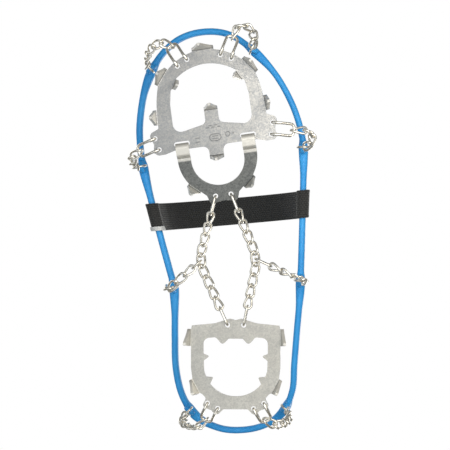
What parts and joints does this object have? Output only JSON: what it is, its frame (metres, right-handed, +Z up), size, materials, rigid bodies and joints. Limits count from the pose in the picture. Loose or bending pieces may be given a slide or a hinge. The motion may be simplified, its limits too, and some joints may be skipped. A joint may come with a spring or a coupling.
{
  "type": "crampon",
  "caption": "Chain crampon for one boot: toothed steel plates joined by link chains, wire bails, a blue elastic harness and a black instep strap.",
  "frame": {"origin": "middle of the part's bounding box at ground level, where the spike tips stand", "axes": "+X towards the inner side of the left foot, +Y towards the toe, +Z up from the spikes to the boot"},
  "size_m": [0.1354, 0.296, 0.1149],
  "materials": {
    "forefoot_steel": "tumbled stainless sheet",
    "flex_steel": "tumbled stainless sheet, darker",
    "heel_steel": "satin stainless sheet",
    "nickel_wire": "bright drawn wire",
    "harness_rubber": "matt blue elastomer",
    "strap_webbing": "black woven webbing",
    "reflective_tape": "light grey reflective edging"
  },
  "bodies": {
    "forefoot": {"forefoot_plate": "forefoot_steel", "harness_front": "harness_rubber", "harness_side_inner": "harness_rubber", "harness_side_outer": "harness_rubber"},
    "flex_plate": {"flex_plate": "flex_steel"},
    "rear": {"heel_plate": "heel_steel", "harness_rear": "harness_rubber", "strap_webbing": "strap_webbing", "strap_stripe": "reflective_tape"},
    "strap_tail": {"strap_tail": "strap_webbing"},
    "toe_inner_bail": {"toe_inner_bail": "nickel_wire"},
    "toe_outer_bail": {"toe_outer_bail": "nickel_wire"},
    "side_inner_bail": {"side_inner_bail": "nickel_wire"},
    "side_outer_bail": {"side_outer_bail": "nickel_wire"},
    "heel_inner_bail": {"heel_inner_bail": "nickel_wire"},
    "heel_outer_bail": {"heel_outer_bail": "nickel_wire"},
    "toe_inner_chain": {"toe_inner_chain": "nickel_wire"},
    "toe_inner_ring": {"toe_inner_ring": "nickel_wire"},
    "toe_outer_chain": {"toe_outer_chain": "nickel_wire"},
    "toe_outer_ring": {"toe_outer_ring": "nickel_wire"},
    "side_inner_chain": {"side_inner_chain": "nickel_wire"},
    "side_inner_ring": {"side_inner_ring": "nickel_wire"},
    "side_outer_chain": {"side_outer_chain": "nickel_wire"},
    "side_outer_ring": {"side_outer_ring": "nickel_wire"},
    "heel_inner_chain": {"heel_inner_chain": "nickel_wire"},
    "heel_inner_ring": {"heel_inner_ring": "nickel_wire"},
    "heel_outer_chain": {"heel_outer_chain": "nickel_wire"},
    "heel_outer_ring": {"heel_outer_ring": "nickel_wire"},
    "arch_inner_chain": {"arch_inner_chain": "nickel_wire"},
    "arch_inner_ring": {"arch_inner_ring": "nickel_wire"},
    "arch_outer_chain": {"arch_outer_chain": "nickel_wire"},
    "arch_outer_ring": {"arch_outer_ring": "nickel_wire"},
    "inner_chain_link_06": {"inner_chain_link_06": "nickel_wire"},
    "inner_chain_link_01": {"inner_chain_link_01": "nickel_wire"},
    "inner_chain_link_02": {"inner_chain_link_02": "nickel_wire"},
    "inner_chain_link_03": {"inner_chain_link_03": "nickel_wire"},
    "inner_chain_link_04": {"inner_chain_link_04": "nickel_wire"},
    "inner_chain_link_05": {"inner_chain_link_05": "nickel_wire"},
    "inner_chain_link_07": {"inner_chain_link_07": "nickel_wire"},
    "inner_chain_link_08": {"inner_chain_link_08": "nickel_wire"},
    "inner_chain_link_09": {"inner_chain_link_09": "nickel_wire"},
    "inner_chain_link_10": {"inner_chain_link_10": "nickel_wire"},
    "inner_chain_link_11": {"inner_chain_link_11": "nickel_wire"},
    "outer_chain_link_06": {"outer_chain_link_06": "nickel_wire"},
    "outer_chain_link_01": {"outer_chain_link_01": "nickel_wire"},
    "outer_chain_link_02": {"outer_chain_link_02": "nickel_wire"},
    "outer_chain_link_03": {"outer_chain_link_03": "nickel_wire"},
    "outer_chain_link_04": {"outer_chain_link_04": "nickel_wire"},
    "outer_chain_link_05": {"outer_chain_link_05": "nickel_wire"},
    "outer_chain_link_07": {"outer_chain_link_07": "nickel_wire"},
    "outer_chain_link_08": {"outer_chain_link_08": "nickel_wire"},
    "outer_chain_link_09": {"outer_chain_link_09": "nickel_wire"},
    "outer_chain_link_10": {"outer_chain_link_10": "nickel_wire"},
    "outer_chain_link_11": {"outer_chain_link_11": "nickel_wire"}
  },
  "joints": [
    {"name": "sole_flex", "type": "hinge", "parent": "forefoot", "child": "rear", "pos_m": [0.00331, 0.06285, 0.011], "axis": [-0.9988, 0.0489, 0], "range_deg": [0, 22], "deforming": ["harness_side_inner", "harness_side_outer"]},
    {"name": "flex_plate_hinge", "type": "hinge", "parent": "forefoot", "child": "flex_plate", "pos_m": [0.00331, 0.06285, 0.011], "axis": [-0.9988, 0.0489, 0], "range_deg": [0, 22]},
    {"name": "strap_tail_peel", "type": "hinge", "parent": "rear", "child": "strap_tail", "pos_m": [0.05288, 0.01525, 0.07202], "axis": [0.1539, 0.9881, 0], "range_deg": [0, 95]},
    {"name": "toe_inner_bail_swing", "type": "hinge", "parent": "forefoot", "child": "toe_inner_bail", "pos_m": [0.02186, 0.12177, 0.011], "axis": [0.8688, -0.4951, 0], "range_deg": [-1, 1]},
    {"name": "toe_outer_bail_swing", "type": "hinge", "parent": "forefoot", "child": "toe_outer_bail", "pos_m": [-0.0094, 0.1233, 0.011], "axis": [0.913, 0.408, 0], "range_deg": [-1, 1]},
    {"name": "side_inner_bail_swing", "type": "hinge", "parent": "forefoot", "child": "side_inner_bail", "pos_m": [0.04456, 0.06594, 0.011], "axis": [-0.273, -0.962, 0], "range_deg": [-1, 1]},
    {"name": "side_outer_bail_swing", "type": "hinge", "parent": "forefoot", "child": "side_outer_bail", "pos_m": [-0.03744, 0.06995, 0.011], "axis": [-0.1779, 0.9841, 0], "range_deg": [-1, 1]},
    {"name": "heel_inner_bail_swing", "type": "hinge", "parent": "rear", "child": "heel_inner_bail", "pos_m": [0.02145, -0.12157, 0.011], "axis": [-0.8492, -0.5281, 0], "range_deg": [-1, 1]},
    {"name": "heel_outer_bail_swing", "type": "hinge", "parent": "rear", "child": "heel_outer_bail", "pos_m": [-0.01112, -0.12441, 0.011], "axis": [-0.928, 0.3726, 0], "range_deg": [-1, 1]},
    {"name": "toe_inner_chain_sway", "type": "hinge", "parent": "forefoot", "child": "toe_inner_chain", "pos_m": [0.02928, 0.1348, 0.014], "axis": [0.6683, -0.3719, 0.6443], "range_deg": [-2, 2]},
    {"name": "toe_inner_ring_swing", "type": "hinge", "parent": "forefoot", "child": "toe_inner_ring", "pos_m": [0.04776, 0.12194, 0.04225], "axis": [-0.8, 0.6, 0], "range_deg": [-3, 3]},
    {"name": "toe_outer_chain_sway", "type": "hinge", "parent": "forefoot", "child": "toe_outer_chain", "pos_m": [-0.01552, 0.13699, 0.014], "axis": [-0.5115, -0.266, 0.8171], "range_deg": [-2, 2]},
    {"name": "toe_outer_ring_swing", "type": "hinge", "parent": "forefoot", "child": "toe_outer_ring", "pos_m": [-0.02645, 0.12875, 0.0424], "axis": [-0.8645, -0.5026, 0], "range_deg": [-3, 3]},
    {"name": "side_inner_chain_sway", "type": "hinge", "parent": "forefoot", "child": "side_inner_chain", "pos_m": [0.05851, 0.06198, 0.014], "axis": [0.2031, -0.4892, 0.8482], "range_deg": [-2, 2]},
    {"name": "side_inner_ring_swing", "type": "hinge", "parent": "forefoot", "child": "side_inner_ring", "pos_m": [0.06039, 0.05221, 0.04045], "axis": [0.0995, 0.995, 0], "range_deg": [-3, 3]},
    {"name": "side_outer_chain_sway", "type": "hinge", "parent": "forefoot", "child": "side_outer_chain", "pos_m": [-0.0527, 0.0672, 0.014], "axis": [-0.2755, -0.538, 0.7966], "range_deg": [-2, 2]},
    {"name": "side_outer_ring_swing", "type": "hinge", "parent": "forefoot", "child": "side_outer_ring", "pos_m": [-0.05647, 0.05563, 0.04059], "axis": [0.0995, -0.995, 0], "range_deg": [-3, 3]},
    {"name": "heel_inner_chain_sway", "type": "hinge", "parent": "rear", "child": "heel_inner_chain", "pos_m": [0.02779, -0.13176, 0.014], "axis": [0.4667, 0.0915, 0.8797], "range_deg": [-2, 2]},
    {"name": "heel_inner_ring_swing", "type": "hinge", "parent": "rear", "child": "heel_inner_ring", "pos_m": [0.04289, -0.12687, 0.05461], "axis": [0.7071, 0.7071, 0], "range_deg": [-3, 3]},
    {"name": "heel_outer_chain_sway", "type": "hinge", "parent": "rear", "child": "heel_outer_chain", "pos_m": [-0.01559, -0.13555, 0.014], "axis": [-0.3658, 0.1007, 0.9252], "range_deg": [-2, 2]},
    {"name": "heel_outer_ring_swing", "type": "hinge", "parent": "rear", "child": "heel_outer_ring", "pos_m": [-0.0268, -0.13041, 0.05553], "axis": [0.7071, -0.7071, 0], "range_deg": [-3, 3]},
    {"name": "arch_inner_chain_sway", "type": "hinge", "parent": "rear", "child": "arch_inner_chain", "pos_m": [0.0209, -0.01887, 0.01499], "axis": [0.7575, -0.5025, 0.4169], "range_deg": [-2, 2]},
    {"name": "arch_inner_ring_swing", "type": "hinge", "parent": "rear", "child": "arch_inner_ring", "pos_m": [0.04555, -0.03625, 0.0389], "axis": [0.1961, 0.9806, 0], "range_deg": [-3, 3]},
    {"name": "arch_outer_chain_sway", "type": "hinge", "parent": "rear", "child": "arch_outer_chain", "pos_m": [-0.01741, -0.02076, 0.01499], "axis": [-0.8065, -0.4899, 0.3309], "range_deg": [-2, 2]},
    {"name": "arch_outer_ring_swing", "type": "hinge", "parent": "rear", "child": "arch_outer_ring", "pos_m": [-0.04635, -0.03925, 0.0369], "axis": [0.1961, -0.9806, 0], "range_deg": [-3, 3]},
    {"name": "inner_chain_link_06_twist", "type": "hinge", "parent": "rear", "child": "inner_chain_link_06", "pos_m": [0.0209, -0.01887, 0.01499], "axis": [-0.0132, -0.9963, -0.0845], "range_deg": [-6, 6]},
    {"name": "inner_chain_link_01_twist", "type": "hinge", "parent": "rear", "child": "inner_chain_link_01", "pos_m": [0.00928, 0.0195, 0.01822], "axis": [0.3266, -0.9418, -0.0794], "range_deg": [-1, 1]},
    {"name": "inner_chain_link_02_twist", "type": "hinge", "parent": "rear", "child": "inner_chain_link_02", "pos_m": [0.01249, 0.01027, 0.01745], "axis": [0.3266, -0.9418, -0.0794], "range_deg": [-2, 2]},
    {"name": "inner_chain_link_03_twist", "type": "hinge", "parent": "rear", "child": "inner_chain_link_03", "pos_m": [0.015, 0.00301, 0.01683], "axis": [0.3266, -0.9418, -0.0794], "range_deg": [-3, 3]},
    {"name": "inner_chain_link_04_twist", "type": "hinge", "parent": "rear", "child": "inner_chain_link_04", "pos_m": [0.01752, -0.00424, 0.01622], "axis": [0.3266, -0.9418, -0.0794], "range_deg": [-4, 4]},
    {"name": "inner_chain_link_05_twist", "type": "hinge", "parent": "rear", "child": "inner_chain_link_05", "pos_m": [0.02003, -0.0115, 0.01561], "axis": [0.3266, -0.9418, -0.0794], "range_deg": [-5, 5]},
    {"name": "inner_chain_link_07_twist", "type": "hinge", "parent": "rear", "child": "inner_chain_link_07", "pos_m": [0.0198, -0.02648, 0.01434], "axis": [-0.3339, -0.9392, -0.0801], "range_deg": [-5, 5]},
    {"name": "inner_chain_link_08_twist", "type": "hinge", "parent": "rear", "child": "inner_chain_link_08", "pos_m": [0.01705, -0.03421, 0.01368], "axis": [-0.3339, -0.9392, -0.0801], "range_deg": [-4, 4]},
    {"name": "inner_chain_link_09_twist", "type": "hinge", "parent": "rear", "child": "inner_chain_link_09", "pos_m": [0.0143, -0.04195, 0.01302], "axis": [-0.3339, -0.9392, -0.0801], "range_deg": [-3, 3]},
    {"name": "inner_chain_link_10_twist", "type": "hinge", "parent": "rear", "child": "inner_chain_link_10", "pos_m": [0.01155, -0.04968, 0.01236], "axis": [-0.3339, -0.9392, -0.0801], "range_deg": [-2, 2]},
    {"name": "inner_chain_link_11_twist", "type": "hinge", "parent": "rear", "child": "inner_chain_link_11", "pos_m": [0.00819, -0.05913, 0.01156], "axis": [-0.3339, -0.9392, -0.0801], "range_deg": [-1, 1]},
    {"name": "outer_chain_link_06_twist", "type": "hinge", "parent": "rear", "child": "outer_chain_link_06", "pos_m": [-0.01741, -0.02076, 0.01499], "axis": [-0.0167, -0.9964, -0.0831], "range_deg": [-6, 6]},
    {"name": "outer_chain_link_01_twist", "type": "hinge", "parent": "rear", "child": "outer_chain_link_01", "pos_m": [-0.00605, 0.01997, 0.01825], "axis": [-0.2984, -0.9514, -0.0757], "range_deg": [-1, 1]},
    {"name": "outer_chain_link_02_twist", "type": "hinge", "parent": "rear", "child": "outer_chain_link_02", "pos_m": [-0.00905, 0.0104, 0.01749], "axis": [-0.2984, -0.9514, -0.0757], "range_deg": [-2, 2]},
    {"name": "outer_chain_link_03_twist", "type": "hinge", "parent": "rear", "child": "outer_chain_link_03", "pos_m": [-0.0115, 0.00259, 0.01687], "axis": [-0.2984, -0.9514, -0.0757], "range_deg": [-3, 3]},
    {"name": "outer_chain_link_04_twist", "type": "hinge", "parent": "rear", "child": "outer_chain_link_04", "pos_m": [-0.01395, -0.00522, 0.01624], "axis": [-0.2984, -0.9514, -0.0757], "range_deg": [-4, 4]},
    {"name": "outer_chain_link_05_twist", "type": "hinge", "parent": "rear", "child": "outer_chain_link_05", "pos_m": [-0.0164, -0.01304, 0.01562], "axis": [-0.2984, -0.9514, -0.0757], "range_deg": [-5, 5]},
    {"name": "outer_chain_link_07_twist", "type": "hinge", "parent": "rear", "child": "outer_chain_link_07", "pos_m": [-0.01668, -0.02829, 0.01435], "axis": [0.2791, -0.9566, -0.0835], "range_deg": [-5, 5]},
    {"name": "outer_chain_link_08_twist", "type": "hinge", "parent": "rear", "child": "outer_chain_link_08", "pos_m": [-0.01451, -0.03572, 0.0137], "axis": [0.2791, -0.9566, -0.0835], "range_deg": [-4, 4]},
    {"name": "outer_chain_link_09_twist", "type": "hinge", "parent": "rear", "child": "outer_chain_link_09", "pos_m": [-0.01234, -0.04316, 0.01305], "axis": [0.2791, -0.9566, -0.0835], "range_deg": [-3, 3]},
    {"name": "outer_chain_link_10_twist", "type": "hinge", "parent": "rear", "child": "outer_chain_link_10", "pos_m": [-0.01017, -0.0506, 0.0124], "axis": [0.2791, -0.9566, -0.0835], "range_deg": [-2, 2]},
    {"name": "outer_chain_link_11_twist", "type": "hinge", "parent": "rear", "child": "outer_chain_link_11", "pos_m": [-0.00743, -0.06001, 0.01158], "axis": [0.2791, -0.9566, -0.0835], "range_deg": [-1, 1]}
  ],
  "couplings": [
    {"joint": "flex_plate_hinge", "follows": "sole_flex", "ratio": 1},
    {"joint": "inner_chain_link_01_twist", "follows": "inner_chain_link_06_twist", "ratio": 0.1667},
    {"joint": "inner_chain_link_02_twist", "follows": "inner_chain_link_06_twist", "ratio": 0.3333},
    {"joint": "inner_chain_link_03_twist", "follows": "inner_chain_link_06_twist", "ratio": 0.5},
    {"joint": "inner_chain_link_04_twist", "follows": "inner_chain_link_06_twist", "ratio": 0.6667},
    {"joint": "inner_chain_link_05_twist", "follows": "inner_chain_link_06_twist", "ratio": 0.8333},
    {"joint": "inner_chain_link_07_twist", "follows": "inner_chain_link_06_twist", "ratio": 0.8333},
    {"joint": "inner_chain_link_08_twist", "follows": "inner_chain_link_06_twist", "ratio": 0.6667},
    {"joint": "inner_chain_link_09_twist", "follows": "inner_chain_link_06_twist", "ratio": 0.5},
    {"joint": "inner_chain_link_10_twist", "follows": "inner_chain_link_06_twist", "ratio": 0.3333},
    {"joint": "inner_chain_link_11_twist", "follows": "inner_chain_link_06_twist", "ratio": 0.1667},
    {"joint": "outer_chain_link_01_twist", "follows": "outer_chain_link_06_twist", "ratio": 0.1667},
    {"joint": "outer_chain_link_02_twist", "follows": "outer_chain_link_06_twist", "ratio": 0.3333},
    {"joint": "outer_chain_link_03_twist", "follows": "outer_chain_link_06_twist", "ratio": 0.5},
    {"joint": "outer_chain_link_04_twist", "follows": "outer_chain_link_06_twist", "ratio": 0.6667},
    {"joint": "outer_chain_link_05_twist", "follows": "outer_chain_link_06_twist", "ratio": 0.8333},
    {"joint": "outer_chain_link_07_twist", "follows": "outer_chain_link_06_twist", "ratio": 0.8333},
    {"joint": "outer_chain_link_08_twist", "follows": "outer_chain_link_06_twist", "ratio": 0.6667},
    {"joint": "outer_chain_link_09_twist", "follows": "outer_chain_link_06_twist", "ratio": 0.5},
    {"joint": "outer_chain_link_10_twist", "follows": "outer_chain_link_06_twist", "ratio": 0.3333},
    {"joint": "outer_chain_link_11_twist", "follows": "outer_chain_link_06_twist", "ratio": 0.1667}
  ]
}
